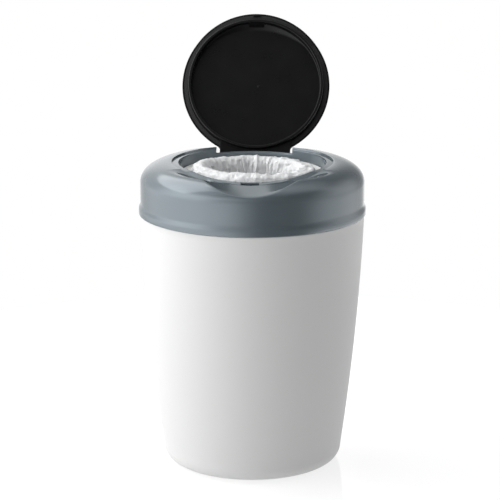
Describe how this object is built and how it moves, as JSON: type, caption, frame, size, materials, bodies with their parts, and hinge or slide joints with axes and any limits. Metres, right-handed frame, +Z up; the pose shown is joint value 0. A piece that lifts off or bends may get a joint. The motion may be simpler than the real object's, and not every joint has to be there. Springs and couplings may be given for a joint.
{
  "type": "nappy bin",
  "caption": "Tall round nappy bin with a bulged tub, a lift-off domed head, a hinged flip lid and a drop-in ring cassette that feeds a film liner.",
  "frame": {"origin": "centre of the tub's flat underside, on the surface that it stands on", "axes": "+Z up along the tub's axis, front (finger scoop and latch) towards -Y, lid hinge towards +Y"},
  "size_m": [0.266, 0.3238, 0.508],
  "materials": {
    "tub_plastic": "satin white moulded polypropylene",
    "head_plastic": "semi-gloss slate grey moulded plastic",
    "lid_plastic": "gloss black moulded plastic",
    "clip_plastic": "natural acetal",
    "cassette_plastic": "matt white polypropylene",
    "film": "thin crumpled translucent film",
    "seal_rubber": "soft black elastomer",
    "steel": "plain steel"
  },
  "bodies": {
    "base": {"tub": "tub_plastic"},
    "head": {"collar": "head_plastic", "tub_seal": "seal_rubber", "cassette_well": "head_plastic", "well_screws": "steel", "latch_catch": "clip_plastic", "film_cutter_guard": "clip_plastic", "film_cutter_blade": "steel", "cutter_screws": "steel", "hinge_pin_left": "steel", "hinge_pin_right": "steel"},
    "lid": {"lid": "lid_plastic", "lid_seal": "seal_rubber"},
    "cassette": {"cassette_body": "cassette_plastic", "cassette_cover": "cassette_plastic", "film_pack": "film", "film_sleeve": "film"}
  },
  "joints": [
    {"name": "head_lift", "type": "slide", "parent": "base", "child": "head", "axis": [0, 0, 1], "range_m": [0, 0.12]},
    {"name": "lid_hinge", "type": "hinge", "parent": "head", "child": "lid", "pos_m": [0, 0.093, 0.345], "axis": [-1, 0, 0], "range_deg": [-117.4, 0]},
    {"name": "cassette_lift", "type": "slide", "parent": "head", "child": "cassette", "axis": [0, 0, 1], "range_m": [0, 0.19]}
  ]
}
